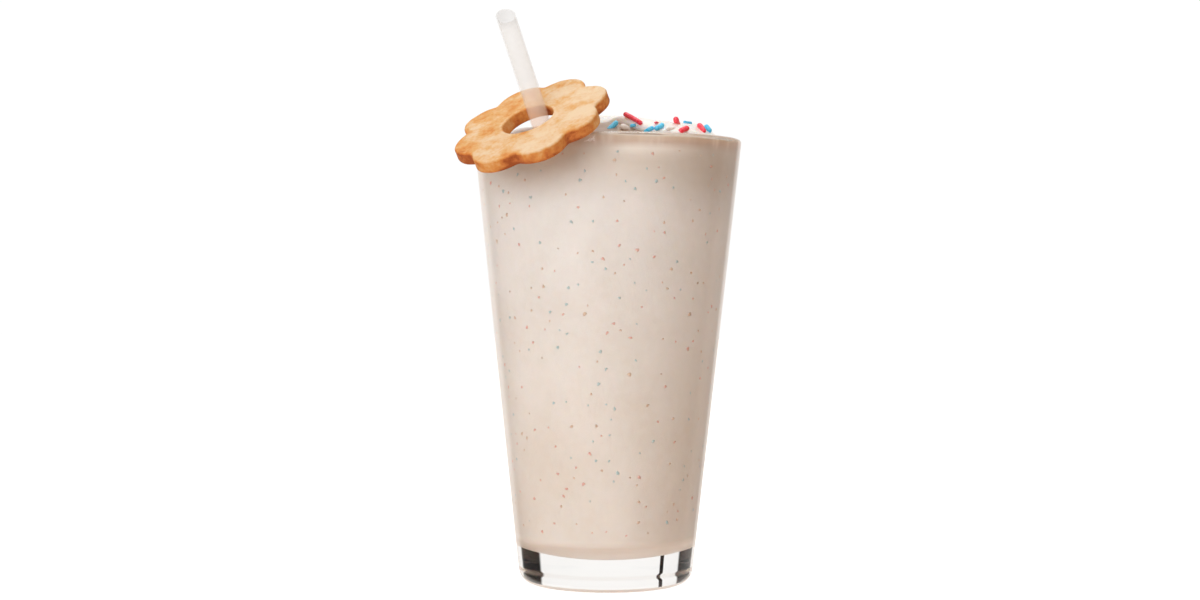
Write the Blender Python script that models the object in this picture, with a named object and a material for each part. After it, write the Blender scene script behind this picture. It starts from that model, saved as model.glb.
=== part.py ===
# A tall conical pint glass of speckled vanilla milkshake, with a swirl of whipped
# cream on top, a straight frosted straw, and a round scalloped shortbread ring
# threaded on the straw and resting on the rim.
# Metres, +Z up. Origin at the centre of the glass's foot, on the glass's axis.
import math

import bmesh
import bpy
import numpy as np
from mathutils import Matrix, Vector

MM = 0.001

# ---------------------------------------------------------------- sizes, in mm
GLASS_HEIGHT = 147.5
RIM_R = 44.5            # outer radius just under the lip
FOOT_WALL_R = 28.5      # where the straight outer wall would meet the table
HEEL_R = 5.4            # rounding between the outer wall and the foot
LIP_WALL = 2.3          # wall thickness at the lip
FLOOR_WALL = 2.9        # wall thickness beside the inner floor
FLOOR_Z = 14.4          # lowest point of the rounding where wall and floor meet
FLOOR_FILLET = 3.2
FLOOR_DISH = 20.0       # how steeply the dished floor meets that rounding, degrees
GLASS_SEGMENTS = 72

GAP = 0.3               # free gap kept between pieces that touch
FILL_BELOW_RIM = 2.4    # milkshake level at the wall, under the lip
DOME = 3.6              # how much the milkshake crowns towards the middle
SWELL = 3.3             # the soft swell beside the ring biscuit
SWELL_AT = (-1.0, -20.5)
SWELL_SIZE = (11.0, 9.0)

STRAW_R = 3.15
STRAW_WALL = 0.35
STRAW_AT_RIM = (-20.22, -32.4)      # where its axis crosses the rim's plane
STRAW_LEAN = (-0.332, -0.290)       # sideways travel for each mm of height
STRAW_FOOT_Z = 26.0
STRAW_TOP_Z = 183.4
STRAW_CUT = 32.0                    # slant of the cut top end, degrees
STRAW_SIDES = 24

RING_CENTRE = (-24.75, -38.3, 151.6)  # centre of the biscuit's upper face
RING_TILT_LEFT = 21.7               # degrees
RING_TILT_FRONT = 28.9              # degrees
RING_TURN = 11.2                    # turn of the lobes about the biscuit's axis
RING_R = 25.5                       # out to the tip of a lobe
RING_NOTCH_R = 20.9                 # out to the notch between two lobes
RING_LOBES = 8
RING_NOTCH_SOFT = 0.055             # rounding of the notches, radians
RING_HOLE_R = 8.5
RING_HOLE_SHIFT = (-0.6, 0.6)
RING_HOLE_SLANT = (0.9, 0.0)        # how far the hole's lower rim is shifted from its upper one
RING_THICK = 4.5

CREAM_R = 36.5                      # how far out it reaches
CREAM_BAY = 26.0                    # how far it draws back beside the swell
CREAM_BAY_TOWARDS = 258.0           # degrees round from +X
CREAM_BAY_WIDTH = 34.0              # degrees
CREAM_THICK = 4.0                   # over the milkshake, away from its mounds
CREAM_MOUNDS = (                    # (x, y, extra height, half size along x, along y)
    (-1.0, 6.0, 3.1, 10.5, 10.0),
    (29.0, 0.0, 1.5, 8.0, 11.0),
    (-26.0, 8.0, -2.6, 13.0, 14.0),
    (10.0, 27.0, -1.5, 14.0, 9.0),
)
CREAM_FOLD = 0.45                   # depth of the soft spiral fold
CREAM_LEAST = 0.7                   # thickness of its blunt edge


# ------------------------------------------------------------------- materials
def material(name, colour, roughness, metallic=0.0, transmission=0.0, alpha=1.0):
    m = bpy.data.materials.new(name)
    m.use_nodes = True
    p = m.node_tree.nodes["Principled BSDF"]
    p.inputs["Base Color"].default_value = (*colour, 1.0)
    p.inputs["Roughness"].default_value = roughness
    p.inputs["Metallic"].default_value = metallic
    p.inputs["Transmission Weight"].default_value = transmission
    p.inputs["Alpha"].default_value = alpha
    return m


def new_object(name, points, faces, mat, sharp=35.0):
    """One mesh object from points in mm and faces as index lists."""
    mesh = bpy.data.meshes.new(name)
    mesh.from_pydata([Vector(p) * MM for p in points], [], faces)
    bm = bmesh.new()
    bm.from_mesh(mesh)
    bmesh.ops.recalc_face_normals(bm, faces=bm.faces)
    bm.to_mesh(mesh)
    bm.free()
    mesh.shade_smooth()
    mesh.set_sharp_from_angle(angle=math.radians(sharp))
    mesh.materials.append(mat)
    obj = bpy.data.objects.new(name, mesh)
    bpy.context.scene.collection.objects.link(obj)
    return obj


# ------------------------------------------------------------ turned profiles
def arc(cx, cz, radius, start, end, steps):
    """Points on an arc in the (r, z) plane; angles in degrees from +r."""
    return [
        (
            cx + radius * math.cos(math.radians(start + (end - start) * i / steps)),
            cz + radius * math.sin(math.radians(start + (end - start) * i / steps)),
        )
        for i in range(steps + 1)
    ]


def outer_r(z):
    """Radius of the straight outer wall at height z."""
    return FOOT_WALL_R + (RIM_R - FOOT_WALL_R) * z / GLASS_HEIGHT


def inner_r(z):
    """Radius of the straight inner wall at height z."""
    share = (z - FLOOR_Z) / (GLASS_HEIGHT - FLOOR_Z)
    return outer_r(z) - (FLOOR_WALL + (LIP_WALL - FLOOR_WALL) * share)


def lathe(profile, segments):
    """Points and faces of a closed profile turned about Z. Its first and last points lie on the axis."""
    points, rings, faces = [], [], []
    for r, z in profile:
        if r < 1e-6:
            rings.append([len(points)])
            points.append((0.0, 0.0, z))
        else:
            rings.append(list(range(len(points), len(points) + segments)))
            for k in range(segments):
                a = 2 * math.pi * k / segments
                points.append((r * math.cos(a), r * math.sin(a), z))
    for low, high in zip(rings, rings[1:]):
        faces += skin(low, high)
    return points, faces


def skin(low, high):
    """Faces between two rings of points. Either may be a single point."""
    n = max(len(low), len(high))
    faces = []
    for k in range(n):
        j = (k + 1) % n
        if len(low) == 1:
            faces.append((low[0], high[j], high[k]))
        elif len(high) == 1:
            faces.append((low[k], low[j], high[0]))
        else:
            faces.append((low[k], low[j], high[j], high[k]))
    return faces


# ------------------------------------------------------------------- the glass
def glass_profile():
    slope = math.degrees(math.atan2(RIM_R - FOOT_WALL_R, GLASS_HEIGHT))
    # Heel: an arc tangent to the foot's plane and to the outer wall.
    heel_x = outer_r(HEEL_R) - HEEL_R / math.cos(math.radians(slope))
    profile = [(0.0, 0.0), (heel_x * 0.5, 0.0)]
    profile += arc(heel_x, HEEL_R, HEEL_R, -90, -slope, 4)
    profile += [(outer_r(z), z) for z in (GLASS_HEIGHT * 0.36, GLASS_HEIGHT * 0.68)]
    lip = LIP_WALL / 2
    top = GLASS_HEIGHT - lip
    profile += arc(outer_r(top) - lip, top, lip, -slope, 180 - slope, 5)
    profile += [(inner_r(z), z) for z in (GLASS_HEIGHT * 0.68, GLASS_HEIGHT * 0.36)]
    corner = FLOOR_Z + FLOOR_FILLET
    profile += arc(inner_r(corner) - FLOOR_FILLET, corner, FLOOR_FILLET, -slope, FLOOR_DISH - 90, 3)
    profile += dish(*profile[-1])
    return profile


def dish(edge_r, edge_z):
    """The floor's shallow dish, from just inside its edge to the axis."""
    depth = 0.5 * edge_r * math.tan(math.radians(FLOOR_DISH))
    return [(edge_r * s, edge_z - depth * (1 - s * s)) for s in (0.75, 0.5, 0.25, 0.0)]


# --------------------------------------------------------------- the milkshake
LEVEL_Z = GLASS_HEIGHT - FILL_BELOW_RIM
LEVEL_R = inner_r(LEVEL_Z) - GAP


def shake_top(x, y):
    """Height of the milkshake's surface."""
    r = np.hypot(x, y)
    crown = DOME * (1 - np.clip(r / LEVEL_R, 0, 1) ** 4)
    swell = SWELL * np.exp(
        -(((x - SWELL_AT[0]) / SWELL_SIZE[0]) ** 2)
        - ((y - SWELL_AT[1]) / SWELL_SIZE[1]) ** 2
    )
    return LEVEL_Z + crown + swell * (1 - np.clip(r / LEVEL_R, 0, 1) ** 6)


def milkshake():
    segments = GLASS_SEGMENTS
    corner = FLOOR_Z + FLOOR_FILLET
    fillet = FLOOR_FILLET - GAP
    slope = math.degrees(math.atan2(RIM_R - FOOT_WALL_R, GLASS_HEIGHT))
    rounding = arc(inner_r(corner) - FLOOR_FILLET, corner, fillet, FLOOR_DISH - 90, -slope, 3)
    profile = dish(*rounding[0])[::-1] + rounding
    profile += [
        (inner_r(z) - GAP, z)
        for z in (GLASS_HEIGHT * 0.36, GLASS_HEIGHT * 0.68, LEVEL_Z)
    ]
    points, faces = lathe(profile, segments)
    last = list(range(len(points) - segments, len(points)))
    for share in (0.93, 0.84, 0.74, 0.63, 0.52, 0.41, 0.30, 0.19, 0.09, 0.0):
        r = LEVEL_R * share
        ring = []
        for k in range(segments if share else 1):
            a = 2 * math.pi * k / segments
            x, y = r * math.cos(a), r * math.sin(a)
            ring.append(len(points))
            points.append((x, y, float(shake_top(x, y))))
        faces += skin(last, ring)
        last = ring
    return points, faces


# ------------------------------------------------------------- whipped cream
def cream_edge(angle):
    """How far out from the glass's axis the cream reaches in a direction."""
    off = (math.degrees(angle) - CREAM_BAY_TOWARDS + 180) % 360 - 180
    bay = CREAM_BAY * math.exp(-((off / CREAM_BAY_WIDTH) ** 2))
    wobble = 0.9 * math.sin(3 * angle + 0.6) + 0.6 * math.sin(7 * angle + 1.9)
    return CREAM_R - bay + wobble


def cream_height(x, y, share):
    """Cream thickness at a point that is this share of the way out to the cream's edge."""
    height = CREAM_THICK
    for mx, my, extra, half_x, half_y in CREAM_MOUNDS:
        height += extra * math.exp(-(((x - mx) / half_x) ** 2) - ((y - my) / half_y) ** 2)
    turn = math.atan2(y - 3.0, x - 2.0) - math.hypot(x - 2.0, y - 3.0) * 0.42
    height += CREAM_FOLD * math.cos(turn) * min(math.hypot(x - 2.0, y - 3.0) / 8.0, 1.0)
    return CREAM_LEAST + (height - CREAM_LEAST) * math.sqrt(max(1 - share**5, 0.0))


def whipped_cream():
    segments = 64
    under = (0.0, 0.2, 0.4, 0.6, 0.8, 0.93, 0.985)
    over = (1.0, 0.985, 0.95, 0.88, 0.79, 0.68, 0.56, 0.43, 0.3, 0.16, 0.0)
    points, rings, faces = [], [], []
    for upper, shares in ((False, under), (True, over)):
        for share in shares:
            ring = []
            for k in range(segments if share else 1):
                a = 2 * math.pi * k / segments
                r = cream_edge(a) * share
                x, y = r * math.cos(a), r * math.sin(a)
                z = float(shake_top(x, y)) + GAP + 0.25
                if upper:
                    z += cream_height(x, y, share)
                ring.append(len(points))
                points.append((x, y, z))
            rings.append(ring)
    for low, high in zip(rings, rings[1:]):
        faces += skin(low, high)
    return points, faces


# --------------------------------------------------------- the ring biscuit
def scallop(angle):
    """Distance from the biscuit's middle to its edge: eight round lobes, each a little different."""
    half = math.pi / RING_LOBES
    c = (RING_R**2 - RING_NOTCH_R**2) / (2 * (RING_R - RING_NOTCH_R * math.cos(half)))
    lobe = RING_R - c
    phase = (angle + half) % (2 * half) - half
    phase = half - math.hypot(half - abs(phase), RING_NOTCH_SOFT)
    r = c * math.cos(phase) + math.sqrt(max(lobe**2 - (c * math.sin(phase)) ** 2, 0.0))
    uneven = 0.012 * math.sin(2 * angle + 0.7) + 0.008 * math.sin(5 * angle + 2.0)
    return r * (1 + uneven)


def ring_biscuit():
    steps = 10 * RING_LOBES
    # Stations round the cross-section: the side, how far in from it, the depth under the upper face.
    top, low = 0.0, RING_THICK
    stations = [
        ("hole", 1.1, top),
        ("mid", 0.5, top),
        ("edge", 1.9, top + 0.05),
        ("edge", 0.7, top + 0.5),
        ("edge", 0.0, top + 1.7),
        ("edge", 0.0, low - 1.1),
        ("edge", 0.3, low - 0.35),
        ("edge", 1.0, low),
        ("mid", 0.5, low),
        ("hole", 0.7, low),
        ("hole", 0.0, low - 0.8),
        ("hole", 0.0, top + 1.4),
        ("hole", 0.3, top + 0.4),
    ]
    sx, sy = RING_HOLE_SHIFT
    points, rings, faces = [], [], []
    for side, inset, depth in stations:
        ring = []
        for k in range(steps):
            a = 2 * math.pi * k / steps
            edge = Vector((scallop(a) * math.cos(a), scallop(a) * math.sin(a)))
            share = depth / RING_THICK
            hole = Vector(
                (
                    sx + RING_HOLE_SLANT[0] * share + RING_HOLE_R * math.cos(a),
                    sy + RING_HOLE_SLANT[1] * share + RING_HOLE_R * math.sin(a),
                )
            )
            way = (edge - hole).normalized()
            if side == "edge":
                p = edge - way * inset
            elif side == "hole":
                p = hole + way * inset
            else:
                p = hole.lerp(edge, inset)
            ring.append(len(points))
            points.append((p.x, p.y, -depth))
        rings.append(ring)
    for low_ring, high_ring in zip(rings, rings[1:] + rings[:1]):
        faces += skin(low_ring, high_ring)
    return points, faces


def ring_matrix():
    """Where the biscuit lies: its upper face's centre, leaning left and to the front."""
    n = Vector(
        (
            -math.tan(math.radians(RING_TILT_LEFT)),
            -math.tan(math.radians(RING_TILT_FRONT)),
            1.0,
        )
    ).normalized()
    e1 = (Vector((1, 0, 0)) - n * n.x).normalized()
    e2 = n.cross(e1)
    turn = Matrix.Rotation(math.radians(RING_TURN), 4, "Z")
    axes = Matrix((e1, e2, n)).transposed().to_4x4()
    return Matrix.Translation(Vector(RING_CENTRE) * MM) @ axes @ turn


# ------------------------------------------------------------------ the straw
def straw_frame():
    """(foot of the straw's axis, its direction, two directions across it), in mm."""
    along = Vector((*STRAW_LEAN, 1.0)).normalized()
    foot = Vector((*STRAW_AT_RIM, GLASS_HEIGHT)) + Vector((*STRAW_LEAN, 1.0)) * (
        STRAW_FOOT_Z - GLASS_HEIGHT
    )
    # Towards the back and a little left: the high side of the slanted cut.
    back = Vector((-0.25, 1.0, 0.0))
    back = (back - along * back.dot(along)).normalized()
    return foot, along, back, along.cross(back)


STRAW_LENGTH = (STRAW_TOP_Z - STRAW_FOOT_Z) * math.sqrt(
    1 + STRAW_LEAN[0] ** 2 + STRAW_LEAN[1] ** 2
)


def tube(outer, inner, start, end, cut, sides):
    """A straight tube along the straw's axis, its far end cut on a slant of cut degrees."""
    foot, along, back, across = straw_frame()
    points, rings, faces = [], [], []
    for radius, place, slant in (
        (outer, start, 0.0),
        (outer, end, cut),
        (inner, end, cut),
        (inner, start, 0.0),
    ):
        ring = []
        for k in range(sides):
            a = 2 * math.pi * k / sides
            side = back * (radius * math.cos(a)) + across * (radius * math.sin(a))
            rise = math.tan(math.radians(slant)) * radius * math.cos(a)
            ring.append(len(points))
            points.append(foot + side + along * (place + rise))
        rings.append(ring)
    for low, high in zip(rings, rings[1:] + rings[:1]):
        faces += skin(low, high)
    return points, faces


# ------------------------------------------------------------------- assembly
def build():
    for obj in list(bpy.data.objects):
        bpy.data.objects.remove(obj, do_unlink=True)

    clear = material("clear_glass", (0.98, 0.99, 0.99), 0.02, transmission=1.0)
    shake = material("speckled_shake", (0.78, 0.68, 0.58), 0.35)
    cream = material("whipped_cream", (0.93, 0.91, 0.87), 0.45)
    baked = material("shortbread", (0.82, 0.52, 0.24), 0.75)
    frosted = material("frosted_plastic", (0.92, 0.91, 0.88), 0.4, alpha=0.7)

    new_object("glass", *lathe(glass_profile(), GLASS_SEGMENTS), clear)

    drink = new_object("milkshake", *milkshake(), shake)
    # The straw stands in the milkshake, which fills it up to the level outside.
    sleeve = new_object(
        "straw_clearance",
        *tube(STRAW_R + GAP, STRAW_R - STRAW_WALL - GAP, -GAP, STRAW_LENGTH, 0.0, STRAW_SIDES),
        shake,
    )
    sleeve.hide_render = True
    sleeve.display_type = "WIRE"
    cut = drink.modifiers.new("straw cut", "BOOLEAN")
    cut.operation = "DIFFERENCE"
    cut.solver = "EXACT"
    cut.object = sleeve

    new_object("whipped_cream", *whipped_cream(), cream)

    biscuit = new_object("cookie", *ring_biscuit(), baked, sharp=50.0)
    biscuit.matrix_world = ring_matrix()

    new_object(
        "straw",
        *tube(STRAW_R, STRAW_R - STRAW_WALL, 0.0, STRAW_LENGTH, STRAW_CUT, STRAW_SIDES),
        frosted,
    )


build()
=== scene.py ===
"""Looks of the milkshake: clear conical glass, speckled drink, whipped cream with
sprinkles, a frosted straw and a scalloped shortbread ring. Lengths in mm inside the
helpers, metres in the scene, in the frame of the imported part."""

import math

import bmesh
import bpy
import numpy as np
from mathutils import Matrix, Vector, noise
from mathutils.bvhtree import BVHTree


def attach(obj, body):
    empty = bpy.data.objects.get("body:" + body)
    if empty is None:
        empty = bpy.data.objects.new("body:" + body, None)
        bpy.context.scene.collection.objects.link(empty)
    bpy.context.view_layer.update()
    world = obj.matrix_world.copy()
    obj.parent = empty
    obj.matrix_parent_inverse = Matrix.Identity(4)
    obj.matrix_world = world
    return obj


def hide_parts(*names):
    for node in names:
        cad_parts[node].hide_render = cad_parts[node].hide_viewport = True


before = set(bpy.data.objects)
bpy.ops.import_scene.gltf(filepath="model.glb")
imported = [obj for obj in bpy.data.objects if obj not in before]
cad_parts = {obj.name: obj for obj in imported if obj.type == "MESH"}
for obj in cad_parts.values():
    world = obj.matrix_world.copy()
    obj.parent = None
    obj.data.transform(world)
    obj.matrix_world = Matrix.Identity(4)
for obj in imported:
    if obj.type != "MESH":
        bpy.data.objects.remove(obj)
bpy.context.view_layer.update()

MM = 0.001

# ------------------------------------------------------------------ camera
# Level with the glass's upper half and 700 mm from its axis.
F_PX, W_PX, H_PX = 2100.0, 1200.0, 600.0
EYE = Vector((0.0, -700.0, 103.3))
PITCH = math.degrees(math.atan((300.0 - 272.6) / F_PX))
YAW = math.degrees(math.atan(7.0 / F_PX))
ROLL = 0.3

cam_data = bpy.data.cameras.new("camera")
cam_data.sensor_width = 36.0
cam_data.lens = F_PX / W_PX * 36.0
cam_data.clip_start = 0.01
cam_data.clip_end = 20.0
camera = bpy.data.objects.new("camera", cam_data)
bpy.context.scene.collection.objects.link(camera)
turn = (
    Matrix.Rotation(math.radians(YAW), 4, "Z")
    @ Matrix.Rotation(math.radians(90.0 - PITCH), 4, "X")
    @ Matrix.Rotation(math.radians(ROLL), 4, "Z")
)
camera.matrix_world = Matrix.Translation(EYE * MM) @ turn
bpy.context.scene.camera = camera


def sight(px, py):
    """Direction of the camera's ray through a point of the 1200 by 600 frame."""
    local = Vector(((px - W_PX / 2) / F_PX, -(py - H_PX / 2) / F_PX, -1.0))
    return (turn.to_3x3() @ local).normalized()


# ---------------------------------------------------------- material helper
class Shader:
    """A small builder for node materials."""

    def __init__(self, name):
        self.mat = bpy.data.materials.new(name)
        self.mat.use_nodes = True
        self.nt = self.mat.node_tree
        self.p = self.nt.nodes["Principled BSDF"]
        self.out = self.nt.nodes["Material Output"]
        coord = self.nt.nodes.new("ShaderNodeTexCoord")
        self.obj = coord.outputs["Object"]

    def node(self, kind, **settings):
        n = self.nt.nodes.new(kind)
        for key, value in settings.items():
            setattr(n, key, value)
        return n

    def link(self, a, b):
        self.nt.links.new(a, b)
        return b

    def feed(self, socket, value):
        if isinstance(value, bpy.types.NodeSocket):
            self.nt.links.new(value, socket)
        else:
            socket.default_value = value

    def noise(self, scale, detail=3.0, rough=0.55, distort=0.0, vector=None):
        n = self.node("ShaderNodeTexNoise")
        self.feed(n.inputs["Vector"], vector or self.obj)
        n.inputs["Scale"].default_value = scale
        n.inputs["Detail"].default_value = detail
        n.inputs["Roughness"].default_value = rough
        n.inputs["Distortion"].default_value = distort
        return n.outputs["Fac"]

    def cells(self, scale, feature="F1", vector=None, rand=1.0):
        n = self.node("ShaderNodeTexVoronoi", feature=feature)
        self.feed(n.inputs["Vector"], vector or self.obj)
        n.inputs["Scale"].default_value = scale
        n.inputs["Randomness"].default_value = rand
        return n.outputs["Distance"]

    def math(self, op, a, b=0.0, clamp=False):
        n = self.node("ShaderNodeMath", operation=op, use_clamp=clamp)
        self.feed(n.inputs[0], a)
        self.feed(n.inputs[1], b)
        return n.outputs[0]

    def span(self, value, lo, hi, to_lo=0.0, to_hi=1.0):
        n = self.node("ShaderNodeMapRange")
        n.clamp = True
        n.interpolation_type = "SMOOTHSTEP"
        self.feed(n.inputs["Value"], value)
        n.inputs["From Min"].default_value = lo
        n.inputs["From Max"].default_value = hi
        n.inputs["To Min"].default_value = to_lo
        n.inputs["To Max"].default_value = to_hi
        return n.outputs["Result"]

    def ramp(self, value, stops):
        n = self.node("ShaderNodeValToRGB")
        self.feed(n.inputs["Fac"], value)
        e = n.color_ramp.elements
        e[0].position, e[-1].position = stops[0][0], stops[-1][0]
        for at, _ in stops[1:-1]:
            e.new(at)
        for el, (_, colour) in zip(e, stops):
            el.color = (*colour, 1.0)
        return n.outputs["Color"]

    def mix(self, fac, a, b, blend="MIX"):
        n = self.node("ShaderNodeMix", data_type="RGBA", blend_type=blend)
        self.feed(n.inputs[0], fac)
        for socket, value in ((n.inputs[6], a), (n.inputs[7], b)):
            if isinstance(value, tuple):
                value = (*value, 1.0)
            self.feed(socket, value)
        return n.outputs[2]

    def attribute(self, name):
        n = self.node("ShaderNodeAttribute", attribute_name=name)
        return n.outputs["Fac"]

    def bump(self, height, distance, strength=1.0, normal=None):
        n = self.node("ShaderNodeBump")
        n.inputs["Strength"].default_value = strength
        n.inputs["Distance"].default_value = distance
        self.feed(n.inputs["Height"], height)
        if normal is not None:
            self.feed(n.inputs["Normal"], normal)
        return n.outputs["Normal"]


def srgb(r, g, b):
    """Linear colour from 0 to 255 display values."""
    def one(v):
        v /= 255.0
        return v / 12.92 if v <= 0.04045 else ((v + 0.055) / 1.055) ** 2.4
    return (one(r), one(g), one(b))


# -------------------------------------------------------------- mesh helper
def make(name, points, faces, shader, attributes=None, sharp=None):
    """A mesh object from points in mm."""
    mesh = bpy.data.meshes.new(name)
    mesh.from_pydata((np.asarray(points, float) * MM).tolist(), [], faces)
    bm = bmesh.new()
    bm.from_mesh(mesh)
    bmesh.ops.recalc_face_normals(bm, faces=bm.faces)
    bm.to_mesh(mesh)
    bm.free()
    mesh.shade_smooth()
    if sharp:
        mesh.set_sharp_from_angle(angle=math.radians(sharp))
    for key, values in (attributes or {}).items():
        layer = mesh.attributes.new(key, "FLOAT", "POINT")
        layer.data.foreach_set("value", np.asarray(values, float))
    mesh.materials.append(shader.mat)
    obj = bpy.data.objects.new(name, mesh)
    bpy.context.scene.collection.objects.link(obj)
    return obj


def skin(low, high):
    """Faces between two rings of point numbers. Either may be a single point."""
    n = max(len(low), len(high))
    faces = []
    for k in range(n):
        j = (k + 1) % n
        if len(low) == 1:
            faces.append((low[0], high[j], high[k]))
        elif len(high) == 1:
            faces.append((low[k], low[j], high[0]))
        else:
            faces.append((low[k], low[j], high[j], high[k]))
    return faces


class Rings:
    """Points in rings, skinned in order."""

    def __init__(self, segments):
        self.n = segments
        self.points, self.rings = [], []

    def add(self, at, single=False):
        """at(angle) gives a point in mm."""
        ring = []
        for k in range(1 if single else self.n):
            ring.append(len(self.points))
            self.points.append(tuple(at(2 * math.pi * k / self.n)))
        self.rings.append(ring)

    def turned(self, r, z):
        if r < 1e-6:
            self.add(lambda a: (0.0, 0.0, z), single=True)
        else:
            self.add(lambda a: (r * math.cos(a), r * math.sin(a), z))

    def faces(self, closed=False):
        rings = self.rings + ([self.rings[0]] if closed else [])
        out = []
        for low, high in zip(rings, rings[1:]):
            out += skin(low, high)
        return out


def arc(cx, cz, radius, start, end, steps):
    return [
        (
            cx + radius * math.cos(math.radians(start + (end - start) * i / steps)),
            cz + radius * math.sin(math.radians(start + (end - start) * i / steps)),
        )
        for i in range(steps + 1)
    ]


# ------------------------------------------------------- sizes, as the part's
GLASS_HEIGHT = 147.5
RIM_R = 44.5
FOOT_WALL_R = 28.5
HEEL_R = 5.4
LIP_WALL = 2.3
FLOOR_WALL = 2.9
FLOOR_Z = 14.4
FLOOR_FILLET = 3.2
FLOOR_DISH = 20.0
GAP = 0.3
FILL_BELOW_RIM = 2.4
DOME = 3.6
SWELL = 3.3
SWELL_AT = (-1.0, -20.5)
SWELL_SIZE = (11.0, 9.0)
SLOPE = math.degrees(math.atan2(RIM_R - FOOT_WALL_R, GLASS_HEIGHT))
LEVEL_Z = GLASS_HEIGHT - FILL_BELOW_RIM


def outer_r(z):
    return FOOT_WALL_R + (RIM_R - FOOT_WALL_R) * z / GLASS_HEIGHT


def inner_r(z):
    share = (z - FLOOR_Z) / (GLASS_HEIGHT - FLOOR_Z)
    return outer_r(z) - (FLOOR_WALL + (LIP_WALL - FLOOR_WALL) * share)


LEVEL_R = inner_r(LEVEL_Z) - GAP


def shake_top(x, y):
    r = math.hypot(x, y)
    s = min(r / LEVEL_R, 1.0)
    crown = DOME * (1 - s**4)
    swell = SWELL * math.exp(
        -(((x - SWELL_AT[0]) / SWELL_SIZE[0]) ** 2)
        - ((y - SWELL_AT[1]) / SWELL_SIZE[1]) ** 2
    )
    return LEVEL_Z + crown + swell * (1 - s**6)


# -------------------------------------------------------------------- glass
def glass_shader():
    s = Shader("clear_glass_look")
    p = s.p
    p.inputs["Transmission Weight"].default_value = 1.0
    p.inputs["IOR"].default_value = 1.5
    tint = s.noise(35.0, detail=2.0)
    s.link(s.ramp(tint, [(0.35, (0.985, 0.992, 0.99)), (0.65, (1.0, 1.0, 1.0))]), p.inputs["Base Color"])
    s.link(s.span(s.noise(120.0, detail=4.0), 0.3, 0.8, 0.0, 0.025), p.inputs["Roughness"])
    return s


def dish(edge_r, edge_z, steps):
    """The floor's shallow dish, from just inside its edge to the axis."""
    depth = 0.5 * edge_r * math.tan(math.radians(FLOOR_DISH))
    shares = [1 - (i + 1) / steps for i in range(steps)]
    return [(edge_r * s, edge_z - depth * (1 - s * s)) for s in shares]


def build_glass():
    profile = [(0.0, 0.9), (8.0, 0.88), (14.0, 0.76), (18.0, 0.5), (20.6, 0.2), (22.0, 0.04)]
    heel_x = outer_r(HEEL_R) - HEEL_R / math.cos(math.radians(SLOPE))
    profile += arc(heel_x, HEEL_R, HEEL_R, -90, -SLOPE, 16)
    # A fine ring left by the mould where the rounding ends.
    profile += [(outer_r(z) - dent, z) for z, dent in ((5.6, 0.004), (5.95, 0.02), (6.3, 0.028), (6.65, 0.02), (7.0, 0.004), (7.4, 0.0))]
    profile += [(outer_r(z), z) for z in np.linspace(9.0, 142.0, 28)]
    lip = LIP_WALL / 2
    top = GLASS_HEIGHT - lip
    profile += arc(outer_r(top) - lip, top, lip, -SLOPE, 180 - SLOPE, 16)
    profile += [(inner_r(z), z) for z in np.linspace(142.0, 19.0, 26)]
    corner = FLOOR_Z + FLOOR_FILLET
    profile += arc(inner_r(corner) - FLOOR_FILLET, corner, FLOOR_FILLET, -SLOPE, FLOOR_DISH - 90, 12)
    profile += dish(*profile[-1], 14)
    rings = Rings(224)
    for r, z in profile:
        rings.turned(r, z)
    return make("glass_fine", rings.points, rings.faces(), glass_shader())


# -------------------------------------------------------------------- drink
def drink_shader():
    s = Shader("speckled_shake_look")
    p = s.p
    broad = s.noise(28.0, detail=3.0, distort=0.4)
    fine = s.noise(420.0, detail=3.0)
    base = s.ramp(
        s.math("ADD", s.math("MULTIPLY", broad, 0.75), s.math("MULTIPLY", fine, 0.25)),
        [(0.36, srgb(227, 219, 211)), (0.5, srgb(231, 225, 219)), (0.64, srgb(235, 229, 224))],
    )
    # Fine pale froth and pinprick crumbs held in the drink.
    froth = s.span(s.cells(900.0), 0.0, 0.16, 1.0, 0.0)
    base = s.mix(s.math("MULTIPLY", froth, 0.10), base, srgb(205, 180, 160))
    # The film that has climbed the wall is thinner, painted browner and darker as shade, with paler streaks down it
    # as painted reflections of the lip.
    stretch = s.node("ShaderNodeMapping")
    s.feed(stretch.inputs["Vector"], s.obj)
    stretch.inputs["Scale"].default_value = (1.0, 1.0, 0.12)
    lip_reflection_streak = s.noise(210.0, detail=2.0, vector=stretch.outputs["Vector"])
    film_shade = s.ramp(lip_reflection_streak, [(0.38, srgb(208, 188, 172)), (0.58, srgb(217, 199, 185)), (0.7, srgb(235, 223, 212))])
    # Warmer towards the foot. Just under the lip, a painted warm shade.
    place = s.node("ShaderNodeSeparateXYZ")
    s.feed(place.inputs[0], s.obj)
    base = s.mix(s.span(place.outputs["Z"], 0.03, 0.125, 1.0, 0.0), base, (0.99, 0.96, 0.925), blend="MULTIPLY")
    base = s.mix(s.span(place.outputs["Z"], 0.125, 0.1395), base, (0.93, 0.89, 0.84), blend="MULTIPLY")
    # Painted shade on the film at the wall.
    base = s.mix(s.attribute("film_shade"), base, film_shade)
    # The top of the drink is painted dark brown: a painted shadow of the biscuit.
    base = s.mix(s.attribute("top_painted_shade"), base, srgb(174, 148, 128))
    # A painted highlight: a pale band just under the lip at the front right.
    base = s.mix(s.attribute("under_lip_highlight"), base, srgb(248, 242, 234))
    # Painted light at the foot: paler towards the floor, with a thin bright line along its edge.
    base = s.mix(s.attribute("low"), base, srgb(250, 241, 233))
    # Painted half shade over the upper right.
    base = s.mix(s.attribute("upper_right_shade"), base, (0.83, 0.80, 0.78), blend="MULTIPLY")
    s.link(base, p.inputs["Base Color"])
    p.inputs["Subsurface Weight"].default_value = 0.35
    p.inputs["Subsurface Radius"].default_value = (1.0, 0.62, 0.42)
    p.inputs["Subsurface Scale"].default_value = 0.004
    s.link(s.span(broad, 0.3, 0.7, 0.28, 0.4), p.inputs["Roughness"])
    s.link(s.bump(s.noise(160.0, detail=4.0), 0.0002, 0.6), p.inputs["Normal"])
    return s


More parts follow.
